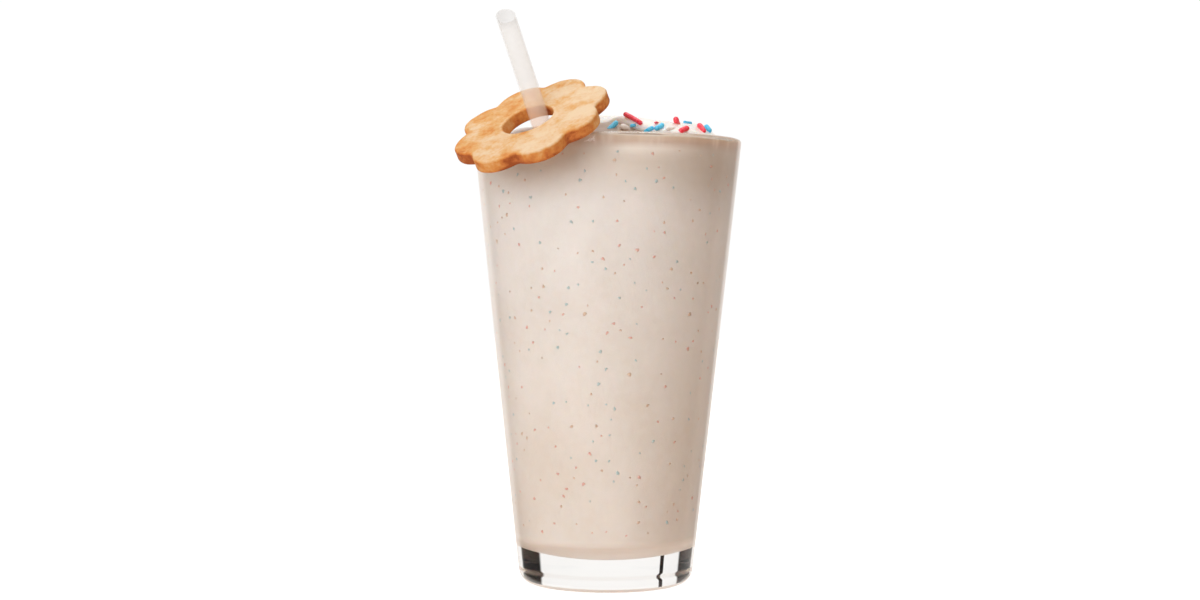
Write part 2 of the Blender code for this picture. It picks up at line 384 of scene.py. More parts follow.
def build_drink():
    """Out to just inside the glass's wall, up to the level at the lip, with its crowned top."""
    into = 0.12
    segments = 220
    rings = Rings(segments)
    corner = FLOOR_Z + FLOOR_FILLET
    rounding = arc(inner_r(corner) - FLOOR_FILLET, corner, FLOOR_FILLET + into, FLOOR_DISH - 90, -SLOPE, 10)
    for r, z in dish(*rounding[0], 14)[::-1] + rounding:
        rings.turned(r, z)
    for z in np.linspace(19.0, LEVEL_Z - 0.6, 60):
        rings.turned(inner_r(z) + into, z)

    # The edge climbs the wall a little, unevenly.
    def edge(a):
        return 0.28 * math.sin(3 * a + 1.0) + 0.18 * math.sin(7 * a + 2.0)

    def wall(drop, out):
        def at(a):
            z = LEVEL_Z + drop + 0.5 * edge(a)
            r = inner_r(z) + out
            return (r * math.cos(a), r * math.sin(a), z)
        return at

    for drop in (-0.3, 0.0, 0.35, 0.7, 1.05, 1.3):
        rings.add(wall(drop, into))
    for drop, out in ((1.48, -0.06), (1.42, -0.3), (1.0, -0.42), (0.5, -0.5), (0.2, -0.7)):
        rings.add(wall(drop, out))
    for share in [0.97, 0.955] + list(np.linspace(0.94, 0.02, 62)):
        def at(a, share=share):
            r = LEVEL_R * share
            x, y = r * math.cos(a), r * math.sin(a)
            z = shake_top(x, y)
            ripple = noise.noise(Vector((x, y, 3.0)) / 7.0) * 0.35 + noise.noise(Vector((x, y, 9.0)) / 2.6) * 0.09
            return (x, y, z + ripple * min(1.0, (1 - share) * 8))
        rings.add(at)
    rings.add(lambda a: (0.0, 0.0, shake_top(0.0, 0.0)), single=True)
    # How much of each point is film on the wall, painted as shade, and the painted highlight band just under it at
    # the front right.
    film_shade, under_lip_highlight, top_shade_share, low, upper_right_shade = [], [], [], [], []
    for x, y, z in rings.points:
        at_wall = math.hypot(x, y) > inner_r(z) - 1.0
        rise = min(max((z - 143.9 + 0.12 * math.sin(0.5 * x)) / 0.7, 0.0), 1.0)
        film_shade.append(rise * rise * (3 - 2 * rise) if at_wall else 0.0)
        across = min(max((x + 3.0) / 9.0, 0.0), 1.0) * min(max((31.0 - x) / 14.0, 0.0), 1.0)
        below = math.exp(-(((z - 142.0) / 1.5) ** 2)) if z < 143.9 else 0.0
        under_lip_highlight.append(0.75 * across * below if at_wall and y < 0 else 0.0)
        # The top of the drink, which takes the painted shadow.
        top_shade_share.append(0.0 if at_wall or z < LEVEL_Z - 1.0 else 1.0)
        # Painted light: paler near the floor, and a thin bright line at its edge.
        under = min(max((FLOOR_Z + 3.4 - z) / 2.6, 0.0), 1.0)
        foot_bright_line = max(0.0, 1.0 - abs(z - FLOOR_Z + 0.2) / 0.7)
        low.append(0.42 * under * under * (3 - 2 * under) + 0.4 * foot_bright_line)
        # The upper right is painted in half shade.
        turn_right = min(max((x / max(math.hypot(x, y), 1.0) - 0.25) / 0.5, 0.0), 1.0)
        high = min(max((z - 112.0) / 24.0, 0.0), 1.0)
        upper_right_shade.append(turn_right * high * high * (3 - 2 * high) if at_wall else 0.0)
    shares = {"film_shade": film_shade, "under_lip_highlight": under_lip_highlight, "top_painted_shade": top_shade_share, "low": low, "upper_right_shade": upper_right_shade}
    return make("drink", rings.points, rings.faces(), drink_shader(), shares)


# ------------------------------------------------------------ whipped cream
CREAM_R = 36.5
CREAM_BAY = 26.0
CREAM_BAY_TOWARDS = 258.0
CREAM_BAY_WIDTH = 34.0
CREAM_THICK = 4.0
CREAM_MOUNDS = (
    (-1.0, 6.0, 3.1, 10.5, 10.0),
    (29.0, 0.0, 1.5, 8.0, 11.0),
    (-26.0, 8.0, -2.6, 13.0, 14.0),
    (10.0, 27.0, -1.5, 14.0, 9.0),
)
CREAM_FOLD = 0.45
CREAM_LEAST = 0.7


def cream_edge(angle):
    off = (math.degrees(angle) - CREAM_BAY_TOWARDS + 180) % 360 - 180
    bay = CREAM_BAY * math.exp(-((off / CREAM_BAY_WIDTH) ** 2))
    wobble = 0.9 * math.sin(3 * angle + 0.6) + 0.6 * math.sin(7 * angle + 1.9)
    return CREAM_R - bay + wobble


def cream_height(x, y, share):
    height = CREAM_THICK
    for mx, my, extra, half_x, half_y in CREAM_MOUNDS:
        height += extra * math.exp(-(((x - mx) / half_x) ** 2) - ((y - my) / half_y) ** 2)
    away = math.hypot(x - 2.0, y - 3.0)
    turn = math.atan2(y - 3.0, x - 2.0) - away * 0.42
    height += CREAM_FOLD * math.cos(turn) * min(away / 8.0, 1.0)
    return CREAM_LEAST + (height - CREAM_LEAST) * math.sqrt(max(1 - share**5, 0.0))


def cream_shader():
    s = Shader("whipped_cream_look")
    p = s.p
    broad = s.noise(90.0, detail=3.0)
    s.link(s.ramp(broad, [(0.35, srgb(249, 246, 240)), (0.6, srgb(255, 254, 251))]), p.inputs["Base Color"])
    p.inputs["Subsurface Weight"].default_value = 0.4
    p.inputs["Subsurface Radius"].default_value = (1.0, 0.75, 0.55)
    p.inputs["Subsurface Scale"].default_value = 0.003
    s.link(s.span(s.noise(60.0), 0.3, 0.7, 0.22, 0.38), p.inputs["Roughness"])
    small = s.math("ADD", s.noise(500.0, detail=3.0), s.math("MULTIPLY", s.cells(700.0), 0.35))
    s.link(s.bump(small, 0.00018, 0.5), p.inputs["Normal"])
    return s


def build_cream():
    segments = 260
    rings = Rings(segments)

    def at(share, upper):
        def point(a):
            r = cream_edge(a) * share
            x, y = r * math.cos(a), r * math.sin(a)
            z = shake_top(x, y) - 0.25
            if upper:
                lift = cream_height(x, y, share)
                soft = noise.noise(Vector((x, y, 1.0)) / 6.0) * 0.42 + noise.noise(Vector((x, y, 5.0)) / 2.3) * 0.12
                z += lift + 0.45 + soft * min(1.0, (1 - share) * 10)
            else:
                z += 0.0
            return (x, y, z)
        return point

    for share in (0.0, 0.5, 0.8, 0.95, 0.985):
        rings.add(at(share, False), single=share == 0.0)
    shares = [1.0, 0.998, 0.994, 0.988, 0.98, 0.97, 0.958, 0.945, 0.93, 0.912, 0.892]
    shares += list(np.linspace(0.87, 0.0, 66))
    for share in shares:
        rings.add(at(share, True), single=share == 0.0)
    return make("cream", rings.points, rings.faces(), cream_shader())


# -------------------------------------------------------- shortbread ring
RING_CENTRE = (-24.75, -38.3, 151.6)
RING_TILT_LEFT = 21.7
RING_TILT_FRONT = 28.9
RING_TURN = 11.2
RING_R = 25.5
RING_NOTCH_R = 20.9
RING_LOBES = 8
RING_NOTCH_SOFT = 0.055
RING_HOLE_R = 8.5
RING_HOLE_SHIFT = (-0.6, 0.6)
RING_HOLE_SLANT = (0.9, 0.0)
RING_THICK = 4.5


def ring_matrix():
    n = Vector(
        (-math.tan(math.radians(RING_TILT_LEFT)), -math.tan(math.radians(RING_TILT_FRONT)), 1.0)
    ).normalized()
    e1 = (Vector((1, 0, 0)) - n * n.x).normalized()
    e2 = n.cross(e1)
    axes = Matrix((e1, e2, n)).transposed().to_4x4()
    return Matrix.Translation(Vector(RING_CENTRE)) @ axes @ Matrix.Rotation(math.radians(RING_TURN), 4, "Z")


def scallop(angle):
    half = math.pi / RING_LOBES
    c = (RING_R**2 - RING_NOTCH_R**2) / (2 * (RING_R - RING_NOTCH_R * math.cos(half)))
    lobe = RING_R - c
    phase = (angle + half) % (2 * half) - half
    phase = half - math.hypot(half - abs(phase), RING_NOTCH_SOFT)
    r = c * math.cos(phase) + math.sqrt(max(lobe**2 - (c * math.sin(phase)) ** 2, 0.0))
    uneven = 0.012 * math.sin(2 * angle + 0.7) + 0.008 * math.sin(5 * angle + 2.0)
    return r * (1 + uneven)


def biscuit_shader():
    s = Shader("shortbread_look")
    p = s.p
    baked = s.attribute("baked")
    patch = s.noise(130.0, detail=4.0, rough=0.6, distort=0.6)
    grain = s.noise(1100.0, detail=4.0, rough=0.65)
    blotch = s.noise(400.0, detail=3.0, rough=0.6, distort=0.3)
    level = s.math("ADD", baked, s.math("MULTIPLY", s.math("SUBTRACT", patch, 0.5), 0.65))
    level = s.math("ADD", level, s.math("MULTIPLY", s.math("SUBTRACT", blotch, 0.5), 0.75))
    level = s.math("ADD", level, s.math("MULTIPLY", s.math("SUBTRACT", grain, 0.5), 0.4))
    colour = s.ramp(
        level,
        [
            (0.0, srgb(230, 203, 168)),
            (0.22, srgb(226, 189, 146)),
            (0.42, srgb(221, 167, 104)),
            (0.62, srgb(215, 142, 70)),
            (0.82, srgb(198, 114, 52)),
            (1.0, srgb(166, 84, 34)),
        ],
    )
    pits = s.span(s.cells(1100.0), 0.02, 0.22, 1.0, 0.0)
    colour = s.mix(s.math("MULTIPLY", pits, 0.25), colour, srgb(190, 120, 60))
    s.link(colour, p.inputs["Base Color"])
    s.link(s.span(patch, 0.3, 0.7, 0.62, 0.8), p.inputs["Roughness"])
    p.inputs["Specular IOR Level"].default_value = 0.35
    p.inputs["Subsurface Weight"].default_value = 0.12
    p.inputs["Subsurface Radius"].default_value = (1.0, 0.5, 0.25)
    p.inputs["Subsurface Scale"].default_value = 0.0015
    high = s.math("ADD", s.noise(700.0, detail=5.0, rough=0.7), s.math("MULTIPLY", pits, -0.5))
    s.link(s.bump(high, 0.00035, 0.75), p.inputs["Normal"])
    return s


def build_biscuit():
    steps = 44 * RING_LOBES
    sx, sy = RING_HOLE_SHIFT
    low = RING_THICK
    # Stations round the cross-section: side, inset from it, depth under the upper face, how far baked.
    stations = []
    for i in range(9):  # hole's upper rounding
        t = math.radians(90 * i / 8)
        stations.append(("hole", 0.6 * (1 - math.cos(t)), 0.6 * (1 - math.sin(t)), 0.62 - 0.4 * i / 8))
    for i in range(1, 22):
        stations.append(("between", i / 22, 0.0, 0.0))
    for i in range(10):  # outer upper rounding
        t = math.radians(90 - 90 * i / 9)
        stations.append(("edge", 0.75 * (1 - math.cos(t)), 0.75 * (1 - math.sin(t)), 0.32 + 0.4 * (i / 9) ** 2))
    for d in (1.2, 1.7, 2.2, 2.7, 3.2):
        stations.append(("edge", 0.0, d, 0.72))
    for i in range(7):
        t = math.radians(90 * i / 6)
        stations.append(("edge", 1.0 * (1 - math.cos(t)), low - 1.0 * (1 - math.sin(t)), 0.84))
    for i in range(1, 10):
        stations.append(("under", i / 10, low, 0.72))
    for i in range(6):
        t = math.radians(90 - 90 * i / 5)
        stations.append(("hole", 0.8 * (1 - math.cos(t)), low - 0.8 * (1 - math.sin(t)), 0.74))
    for d in (3.3, 2.7, 2.1):
        stations.append(("hole", 0.0, d, 0.7))
    rings = Rings(steps)
    baked = []
    for side, inset, depth, brown in stations:
        def at(a, side=side, inset=inset, depth=depth, brown=brown):
            ro = scallop(a)
            edge = Vector((ro * math.cos(a), ro * math.sin(a)))
            slant = depth / RING_THICK
            hole = Vector(
                (
                    sx + RING_HOLE_SLANT[0] * slant + RING_HOLE_R * math.cos(a),
                    sy + RING_HOLE_SLANT[1] * slant + RING_HOLE_R * math.sin(a),
                )
            )
            way = (edge - hole).normalized()
            width = (edge - hole).length
            if side == "edge":
                q = edge - way * inset
            elif side == "hole":
                q = hole + way * inset
            elif side == "between":
                q = (hole + way * 0.6).lerp(edge - way * 0.75, inset)
            else:
                q = (edge - way * 1.0).lerp(hole + way * 0.8, inset)
            d = depth
            level = brown
            if side == "between":
                from_edge = (1 - inset) * width
                level = 0.27 + 0.16 * math.exp(-from_edge / 1.2) + 0.08 * math.exp(-inset * width / 1.2)
            if side == "between" or depth < 1.2:
                # Browner towards the left and back, paler at the front right.
                level += 0.19 * (-0.8 * q.x + 0.5 * q.y) / 25.0
            # The side is painted darker at the notches between the lobes, as shade in the creases.
            notch_shade = 0.5 - 0.5 * math.cos(RING_LOBES * a)
            if side == "edge":
                level += 0.1 * notch_shade**3
            # Surface unevenness: broad dips, small lumps.
            v = Vector((q.x, q.y, depth * 1.3))
            broad = noise.noise(v / 6.5) * 0.30 + noise.noise(v / 2.4 + Vector((7, 3, 1))) * 0.11
            small = noise.noise(v / 0.9 + Vector((2, 9, 4))) * 0.05
            level += -0.35 * noise.noise(v / 7.0 + Vector((5, 5, 5))) + 0.06 * small / 0.05
            if side in ("between",) or (side != "under" and depth < 1.2):
                d = depth - (broad + small) * 0.55 + 0.12
            elif side == "edge":
                q = q - way * (abs(broad) * 0.5 + abs(small))
            baked.append(level)
            return (q.x, q.y, -max(d, 0.0))
        rings.add(at)
    m = ring_matrix()
    points = [tuple(m @ Vector(q)) for q in rings.points]
    obj = make("biscuit", points, rings.faces(closed=True), biscuit_shader(), {"baked": baked})
    return obj


# -------------------------------------------------------------------- straw
STRAW_R = 3.15
STRAW_WALL = 0.35
STRAW_AT_RIM = (-20.22, -32.4)
STRAW_LEAN = (-0.332, -0.290)
STRAW_FOOT_Z = 26.0
STRAW_TOP_Z = 183.4
STRAW_CUT = 32.0
STRAW_LENGTH = (STRAW_TOP_Z - STRAW_FOOT_Z) * math.sqrt(1 + STRAW_LEAN[0] ** 2 + STRAW_LEAN[1] ** 2)


def straw_shader():
    s = Shader("frosted_plastic_look")
    p = s.p
    tone = s.noise(240.0, detail=4.0)
    # Frosted white above; where it passes through the biscuit it is painted tan, as light from the biscuit.
    place = s.node("ShaderNodeSeparateXYZ")
    s.feed(place.inputs[0], s.obj)
    frost = s.ramp(tone, [(0.3, srgb(238, 241, 242)), (0.7, srgb(247, 250, 251))])
    tan = s.span(place.outputs["Z"], 0.1505, 0.1615, 1.0, 0.0)
    colour = s.mix(tan, frost, srgb(255, 226, 196))
    s.link(s.mix(s.attribute("mouth_shade"), colour, srgb(176, 172, 166)), p.inputs["Base Color"])
    s.link(s.span(s.noise(500.0), 0.3, 0.7, 0.38, 0.55), p.inputs["Roughness"])
    p.inputs["Alpha"].default_value = 0.21
    s.link(s.bump(s.noise(900.0, detail=4.0), 0.0001, 0.4), p.inputs["Normal"])
    return s


def build_straw():
    along = Vector((*STRAW_LEAN, 1.0)).normalized()
    foot = Vector((*STRAW_AT_RIM, GLASS_HEIGHT)) + Vector((*STRAW_LEAN, 1.0)) * (STRAW_FOOT_Z - GLASS_HEIGHT)
    back = Vector((-0.25, 1.0, 0.0))
    back = (back - along * back.dot(along)).normalized()
    across = along.cross(back)
    rings = Rings(72)

    def ring(radius, place, slant):
        def at(a):
            side = back * (radius * math.cos(a)) + across * (radius * math.sin(a))
            return foot + side + along * (place + math.tan(math.radians(slant)) * radius * math.cos(a))
        rings.add(at)

    lengths = np.linspace(0.0, STRAW_LENGTH - 4.0, 60)
    for place in lengths:
        ring(STRAW_R, place, 0.0)
    ring(STRAW_R, STRAW_LENGTH - 0.1, STRAW_CUT)
    ring(STRAW_R - 0.08, STRAW_LENGTH, STRAW_CUT)
    ring(STRAW_R - STRAW_WALL + 0.08, STRAW_LENGTH, STRAW_CUT)
    ring(STRAW_R - STRAW_WALL, STRAW_LENGTH - 0.1, STRAW_CUT)
    inner_from = len(rings.points) - rings.n
    for place in list(np.linspace(STRAW_LENGTH - 3.0, STRAW_LENGTH - 4.0, 2)) + list(lengths[::-1][1:]):
        ring(STRAW_R - STRAW_WALL, place, 0.0)
    # The open mouth shows a single wall, painted darker than the rest as shade inside the tube.
    mouth_shade = []
    for number, point in enumerate(rings.points):
        up = (Vector(point) - foot).dot(along) - (STRAW_LENGTH - 4.2)
        mouth_shade.append(min(max(up / 1.6, 0.0), 1.0) if number >= inner_from else 0.0)
    return make("straw_tube", rings.points, rings.faces(closed=True), straw_shader(), {"mouth_shade": mouth_shade}, sharp=60.0)


# ------------------------------------------------------- sprinkles and specks
def tree_of(obj):
    bm = bmesh.new()
    bm.from_mesh(obj.data)
    bm.transform(Matrix.Scale(1000.0, 4))
    tree = BVHTree.FromBMesh(bm)
    bm.free()
    return tree


def rod(centre, way, length, radius, points, faces, seed):
    """Adds one round-ended rod, slightly uneven."""
    n, way = 12, way.normalized()
    side = way.orthogonal().normalized()
    other = way.cross(side)
    start = len(points)
    half = length / 2
    bend = side * (0.25 * math.sin(seed * 2.3))
    stations = []
    for i in range(5):
        t = math.radians(90 * i / 4)
        stations.append((-half + radius * (1 - math.sin(t)), radius * math.cos(t)))
    stations = stations[::-1][0:0] + [(-half + radius * (1 - math.cos(math.radians(a))), radius * math.sin(math.radians(a))) for a in (0, 25, 50, 72, 90)]
    stations += [(-half * 0.35, radius * 1.03), (half * 0.3, radius * 0.98)]
    stations += [(half - radius * (1 - math.cos(math.radians(a))), radius * math.sin(math.radians(a))) for a in (90, 72, 50, 25, 0)]
    rings = []
    for at, r in stations:
        c = centre + way * at + bend * (1 - (at / half) ** 2)
        if r < 1e-4:
            rings.append([len(points)])
            points.append(tuple(c))
            continue
        ring = []
        for k in range(n):
            a = 2 * math.pi * k / n
            ring.append(len(points))
            points.append(tuple(c + side * (r * math.cos(a)) + other * (r * math.sin(a))))
        rings.append(ring)
    for low, high in zip(rings, rings[1:]):
        faces += skin(low, high)
    return start


def sprinkle_shader(name, deep, light):
    s = Shader(name)
    p = s.p
    mottle = s.math("ADD", s.noise(1500.0, detail=3.0), s.math("MULTIPLY", s.noise(320.0), 0.5))
    s.link(s.ramp(mottle, [(0.55, deep), (0.95, light)]), p.inputs["Base Color"])
    s.link(s.span(s.noise(900.0), 0.3, 0.7, 0.3, 0.5), p.inputs["Roughness"])
    s.link(s.bump(s.noise(2400.0, detail=2.0), 0.0001, 0.5), p.inputs["Normal"])
    return s


SPRINKLE_R = 0.82
# Where the sprinkles on the front lie: colour, the two ends in the frame's pixels, and how thick each is.
SPRINKLES = (
    ("red", (624.5, 114), (641.5, 125), 1.0),
    ("blue", (608, 132), (617, 122.5), 1.0),
    ("blue", (632.5, 126.5), (636, 125), 0.7),
    ("blue", (644, 132.5), (653, 128), 1.0),
    ("blue", (655, 130), (663, 125), 1.05),
    ("red", (654.5, 123.6), (658, 123.2), 0.45),
    ("red", (673.5, 120.5), (678.5, 119.2), 1.1),
    ("blue", (685, 123.2), (690, 123.5), 0.7),
    ("red", (679, 133.5), (688, 128.5), 1.1),
    ("red", (698, 125), (703.5, 133.5), 1.1),
    ("blue", (705, 126.5), (709.5, 133), 1.15),
    ("white", (622, 127.5), (627, 130.5), 1.15),
    ("white", (667, 130), (673, 128), 0.8),
)


def build_sprinkles(cream, drink):
    """Sprinkles over the cream: those on the front where they are seen, the rest as thick over its other side."""
    trees = [tree_of(cream), tree_of(drink)]
    rng = np.random.default_rng(12)
    heaps = {c: ([], []) for c in ("red", "blue", "white")}
    laid = []

    def surface(direction):
        hits = [t.ray_cast(EYE, direction) for t in trees]
        hits = [h for h in hits if h[0] is not None]
        return min(hits, key=lambda h: h[3]) if hits else None

    def place(colour, centre, normal, way, length, thick=1.0):
        points, faces = heaps[colour]
        seed = len(laid) + 1
        radius = SPRINKLE_R * thick
        rod(centre + normal * (radius * 0.45), way, length, radius * rng.uniform(0.94, 1.06), points, faces, seed)
        laid.append(centre.copy())

    for colour, p, q, thick in SPRINKLES:
        mid = sight((p[0] + q[0]) / 2, (p[1] + q[1]) / 2)
        hit = surface(mid)
        lift = 0.0
        if hit is None:  # just over the outline: it stands on the ridge below
            for down in range(1, 12):
                hit = surface(sight((p[0] + q[0]) / 2, (p[1] + q[1]) / 2 + down))
                if hit is not None:
                    lift = down / 3.0
                    break
        if hit is None:
            continue
        centre, normal = hit[0], hit[1]
        if normal.z < 0:
            normal = -normal
        far = (centre - EYE).length
        a, b = EYE + sight(*p) * far, EYE + sight(*q) * far
        way = b - a
        flat = way.copy()
        flat.y = 0
        depth = -(flat.x * normal.x + flat.z * normal.z) / (normal.y if abs(normal.y) > 0.15 else -0.15)
        limit = 0.75 * flat.length
        way = flat + Vector((0, max(-limit, min(limit, depth)), 0))
        length = max(way.length + SPRINKLE_R * 0.4, 3.6)
        if (b - a).length < 2.6:
            # Seen nearly end-on: most of its length runs away from the viewer.
            way = Vector((way.x, 2.4, way.z * 0.5))
            length = 4.6 if thick > 0.6 else 2.6
        if lift > 0.3:
            # Its near end stands up out of the ridge and the rest runs down into the cream behind it.
            way = Vector((0.5 * way.x, 3.0, -1.7)).normalized()
            length = 4.6
            lift = min(lift, 1.1)
            centre = centre + way * (length / 2 - SPRINKLE_R * thick)
            normal = Vector((0.0, 0.0, 1.0))
        place(colour, centre + Vector((0, 0, lift)), normal, way, length, thick)

    count = 0
    tries = 0
    while count < 46 and tries < 4000:
        tries += 1
        a = rng.uniform(0, 2 * math.pi)
        share = math.sqrt(rng.uniform(0, 1)) * 0.95
        r = cream_edge(a) * share
        x, y = r * math.cos(a), r * math.sin(a)
        if y < 6.0 - 0.1 * abs(x):
            continue
        hit = trees[0].ray_cast(Vector((x, y, 170.0)), Vector((0, 0, -1)))
        if hit[0] is None or any((hit[0] - other).length < 4.2 for other in laid):
            continue
        # Those on the far slope stay out of sight from the front.
        normal = hit[1] if hit[1].z > 0 else -hit[1]
        spin = rng.uniform(0, math.pi)
        way = Vector((math.cos(spin), math.sin(spin), 0.0))
        way = (way - normal * way.dot(normal)).normalized()
        seen = False
        for along, raised in ((0.0, 0.0), (0.0, 2.0), (-3.2, 1.8), (3.2, 1.8)):
            spot = hit[0] + way * along + normal * raised
            first = surface((spot - EYE).normalized())
            seen = seen or first is None or first[3] > (spot - EYE).length - 0.6
        if seen:
            continue
        colour = ("red", "blue", "red", "blue", "white")[int(rng.integers(0, 5))]
        place(colour, hit[0], normal, way, rng.uniform(4.2, 6.8))
        count += 1

    shades = {
        "red": sprinkle_shader("sprinkle_red_look", srgb(246, 30, 58), srgb(255, 104, 120)),
        "blue": sprinkle_shader("sprinkle_blue_look", srgb(52, 196, 255), srgb(120, 222, 255)),
        "white": sprinkle_shader("sprinkle_white_look", srgb(246, 242, 236), srgb(255, 253, 250)),
    }
    out = []
    for colour, (points, faces) in heaps.items():
        if points:
            out.append(make("sprinkles_" + colour, points, faces, shades[colour]))
    return out


def fleck(centre, normal, size, squash, spin, points, faces):
    """Adds one small rounded fleck lying flat against the glass."""
    side = normal.orthogonal().normalized()
    other = normal.cross(side)
    u = side * math.cos(spin) + other * math.sin(spin)
    v = normal.cross(u)
    rings = []
    for lift, r in ((-0.9, 0.0), (-0.55, 0.8), (0.0, 1.0), (0.5, 0.72), (0.75, 0.0)):
        base = centre + normal * (lift * size * 0.28)
        if r == 0.0:
            rings.append([len(points)])
            points.append(tuple(base))
            continue
        ring = []
        for k in range(8):
            a = 2 * math.pi * k / 8
            rough = 1 + 0.22 * math.sin(3 * a + spin * 5) + 0.12 * math.sin(2 * a + spin * 9)
            ring.append(len(points))
            points.append(tuple(base + u * (r * rough * size * math.cos(a)) + v * (r * rough * size * squash * math.sin(a))))
        rings.append(ring)
    for low, high in zip(rings, rings[1:]):
        faces += skin(low, high)


def build_specks():
    rng = np.random.default_rng(5)
    kinds = {
        "specks_red": (0.34, srgb(236, 172, 156), srgb(244, 198, 182)),
        "specks_blue": (0.30, srgb(180, 206, 208), srgb(206, 218, 216)),
        "specks_tan": (0.30, srgb(226, 192, 164), srgb(236, 210, 188)),
        "specks_brown": (0.06, srgb(196, 166, 144), srgb(214, 188, 168)),
    }
    names = list(kinds)
    odds = [kinds[k][0] for k in names]
    heaps = {k: ([], []) for k in names}
    out = []
    taken = []
    while len(taken) < 620:
        a = rng.uniform(0, 2 * math.pi)
        z = LEVEL_Z - 3.0 - (LEVEL_Z - 22.0) * rng.uniform(0, 1) ** 1.15
        r = inner_r(z) + 0.19
        c = Vector((r * math.cos(a), r * math.sin(a), z))
        if any((c - t).length < 2.6 for t in taken):
            continue
        taken.append(c)
        k = names[int(rng.choice(4, p=odds))]
        size = rng.choice([0.34, 0.44, 0.54, 0.66], p=[0.3, 0.38, 0.24, 0.08]) * rng.uniform(0.9, 1.1)
        fleck(c, Vector((math.cos(a), math.sin(a), 0)), size, rng.uniform(0.6, 1.0), rng.uniform(0, 3), *heaps[k])
    for k, (points, faces) in heaps.items():
        out.append(make(k, points, faces, sprinkle_shader(k + "_look", kinds[k][1], kinds[k][2])))
    return out


# ---------------------------------------------------------------- the scene
glass = build_glass()
glass.visible_shadow = False  # the wall lets the lamps' light through to the drink
drink = build_drink()
cream = build_cream()
biscuit = build_biscuit()
straw = build_straw()
sprinkles = build_sprinkles(cream, drink)
specks = build_specks()

for piece, node_name, slot_name in (
    (glass, "glass", "clear_glass"),
    (drink, "milkshake", "speckled_shake"),
    (cream, "whipped_cream", "whipped_cream"),
    (biscuit, "cookie", "shortbread"),
    (straw, "straw", "frosted_plastic"),
):
    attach(piece, "root")
    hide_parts(node_name)
for piece in sprinkles:
    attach(piece, "root")
for piece in specks:
    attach(piece, "root")


# -------------------------------------------------------- floor and lighting
def floor_shader():
    s = Shader("pale_floor")
    p = s.p
    s.link(s.ramp(s.noise(6.0, detail=4.0), [(0.3, (0.93, 0.93, 0.93)), (0.7, (0.96, 0.96, 0.96))]), p.inputs["Base Color"])
    p.inputs["Roughness"].default_value = 0.6
    p.inputs["Specular IOR Level"].default_value = 0.1
    p.inputs["Emission Color"].default_value = (1.0, 0.995, 0.99, 1.0)
    p.inputs["Emission Strength"].default_value = 0.62
    # The floor neither lights the object nor shows in the glass: only a direct look meets it.
    path = s.node("ShaderNodeLightPath")
    gone = s.math("SUBTRACT", 1.0, path.outputs["Is Camera Ray"])
    mix = s.node("ShaderNodeMixShader")
    s.link(gone, mix.inputs[0])
    s.link(p.outputs[0], mix.inputs[1])
    s.link(s.node("ShaderNodeBsdfTransparent").outputs[0], mix.inputs[2])
    s.link(mix.outputs[0], s.out.inputs["Surface"])
    return s


def build_floor():
    n, reach = 40, 2600.0
    points = [(-reach + 2 * reach * i / n, -reach + 2 * reach * j / n, -0.05) for j in range(n + 1) for i in range(n + 1)]
    faces = [
        (j * (n + 1) + i, j * (n + 1) + i + 1, (j + 1) * (n + 1) + i + 1, (j + 1) * (n + 1) + i)
        for j in range(n)
        for i in range(n)
    ]
    return make("floor", points, faces, floor_shader())


floor = build_floor()
floor.visible_diffuse = False


def area(name, place, aim, width, height, watts, colour=(1, 1, 1)):
    data = bpy.data.lights.new(name, "AREA")
    data.shape = "RECTANGLE"
    data.size, data.size_y = width, height
    data.energy = watts
    data.color = colour
    obj = bpy.data.objects.new(name, data)
    obj.location = place
    obj.rotation_mode = "QUATERNION"
    obj.rotation_quaternion = (Vector(aim) - Vector(place)).to_track_quat("-Z", "Y")
    obj.visible_camera = False
    obj.visible_transmission = False
    bpy.context.scene.collection.objects.link(obj)
    return obj


AIM = (0.0, 0.0, 0.09)
area("key", (-0.62, -1.0, 0.36), AIM, 0.95, 0.7, 8.2, (0.84, 0.92, 0.98))
area("top", (0.0, 0.1, 1.2), AIM, 0.9, 0.9, 5.6, (0.8, 0.95, 1.0))


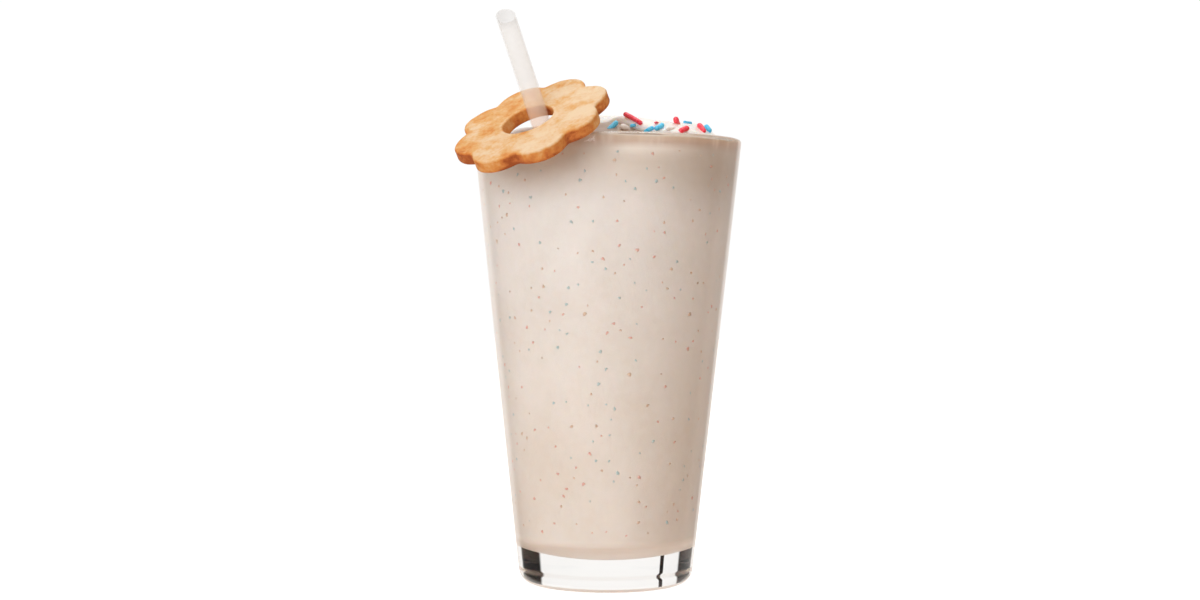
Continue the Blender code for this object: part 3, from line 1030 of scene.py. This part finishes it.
def build_world():
    """White to the camera. Round the object: a soft studio, brighter at the front left, warm and dim at the right."""
    world = bpy.data.worlds.new("studio")
    bpy.context.scene.world = world
    world.use_nodes = True
    nt = world.node_tree
    nt.nodes.clear()

    def node(kind, **settings):
        n = nt.nodes.new(kind)
        for key, value in settings.items():
            setattr(n, key, value)
        return n

    def link(a, b):
        nt.links.new(a, b)

    def mth(op, a, b=0.0, clamp=False):
        n = node("ShaderNodeMath", operation=op, use_clamp=clamp)
        for socket, value in ((n.inputs[0], a), (n.inputs[1], b)):
            if isinstance(value, bpy.types.NodeSocket):
                link(value, socket)
            else:
                socket.default_value = value
        return n.outputs[0]

    def smooth(value, lo, hi, to_lo=0.0, to_hi=1.0):
        n = node("ShaderNodeMapRange", clamp=True, interpolation_type="SMOOTHSTEP")
        link(value, n.inputs["Value"])
        for key, v in (("From Min", lo), ("From Max", hi), ("To Min", to_lo), ("To Max", to_hi)):
            n.inputs[key].default_value = v
        return n.outputs["Result"]

    coord = node("ShaderNodeTexCoord")
    xyz = node("ShaderNodeSeparateXYZ")
    link(coord.outputs["Generated"], xyz.inputs[0])
    x, y, z = xyz.outputs

    # Soft studio: even and warm, a little brighter from above.
    ramp = node("ShaderNodeValToRGB")
    link(smooth(z, -1.0, 1.0), ramp.inputs["Fac"])
    ramp.color_ramp.elements[0].position = 0.0
    ramp.color_ramp.elements[0].color = (0.88, 0.735, 0.635, 1)
    ramp.color_ramp.elements[1].position = 1.0
    ramp.color_ramp.elements[1].color = (0.65, 0.53, 0.45, 1)
    level = ramp.color_ramp.elements.new(0.5)
    level.color = (0.60, 0.475, 0.392, 1)
    soft = node("ShaderNodeBackground")
    link(ramp.outputs["Color"], soft.inputs["Color"])
    soft.inputs["Strength"].default_value = 1.0

    # Through the clear base: white all round, with a dark card at each side and a thin one at the left.
    side = mth("ABSOLUTE", x)
    card = mth(
        "ADD",
        mth("MULTIPLY", smooth(x, 0.55, 0.585), smooth(x, 0.86, 0.89, 1.0, 0.0)),
        mth("MULTIPLY", smooth(x, -0.69, -0.655, 1.0, 0.0), smooth(x, -0.94, -0.91)),
    )
    thin = mth("MULTIPLY", smooth(x, -0.485, -0.475), smooth(x, -0.445, -0.435, 1.0, 0.0))
    clear = node("ShaderNodeMix", data_type="RGBA")
    link(mth("MAXIMUM", card, thin), clear.inputs[0])
    clear.inputs[6].default_value = (1.0, 0.985, 0.965, 1)
    clear.inputs[7].default_value = (0.010, 0.008, 0.008, 1)
    through = node("ShaderNodeBackground")
    link(clear.outputs[2], through.inputs["Color"])
    # Two grey screens stand at the front, either side of the middle.
    screen = mth(
        "MULTIPLY",
        mth("MULTIPLY", smooth(side, 0.14, 0.22), smooth(side, 0.48, 0.56, 1.0, 0.0)),
        smooth(y, -0.8, -0.6, 1.0, 0.0),
    )
    link(mth("SUBTRACT", 1.0, mth("MULTIPLY", screen, 0.78)), through.inputs["Strength"])

    # Mirrored in the glass: dark to the left, half dark to the right, white behind, dim on the viewer's side.
    behind = smooth(y, -0.1, 0.1, 0.3, 1.0)
    left = smooth(x, -0.74, -0.50, 0.02, 1.0)
    right = mth("MULTIPLY", smooth(x, 0.42, 0.56, 1.0, 0.5), smooth(x, 0.82, 0.95, 1.0, 0.1))
    mirror = mth("MULTIPLY", mth("MULTIPLY", left, right), behind)
    gloss = node("ShaderNodeBackground")
    gloss.inputs["Color"].default_value = (1.0, 0.97, 0.94, 1)
    link(mirror, gloss.inputs["Strength"])

    white = node("ShaderNodeBackground")
    white.inputs["Color"].default_value = (1, 1, 1, 1)
    white.inputs["Strength"].default_value = 1.02

    path = node("ShaderNodeLightPath")
    first = node("ShaderNodeMixShader")
    unlit = mth("LESS_THAN", path.outputs["Diffuse Depth"], 0.5)
    link(mth("MULTIPLY", path.outputs["Is Transmission Ray"], unlit), first.inputs[0])
    shiny = node("ShaderNodeMixShader")
    link(mth("MULTIPLY", path.outputs["Is Glossy Ray"], unlit), shiny.inputs[0])
    link(soft.outputs[0], shiny.inputs[1])
    link(gloss.outputs[0], shiny.inputs[2])
    link(shiny.outputs[0], first.inputs[1])
    link(through.outputs[0], first.inputs[2])
    last = node("ShaderNodeMixShader")
    link(path.outputs["Is Camera Ray"], last.inputs[0])
    link(first.outputs[0], last.inputs[1])
    link(white.outputs[0], last.inputs[2])
    out = node("ShaderNodeOutputWorld")
    link(last.outputs[0], out.inputs["Surface"])


build_world()
scene = bpy.context.scene
scene.view_settings.view_transform = "Standard"
scene.view_settings.look = "None"
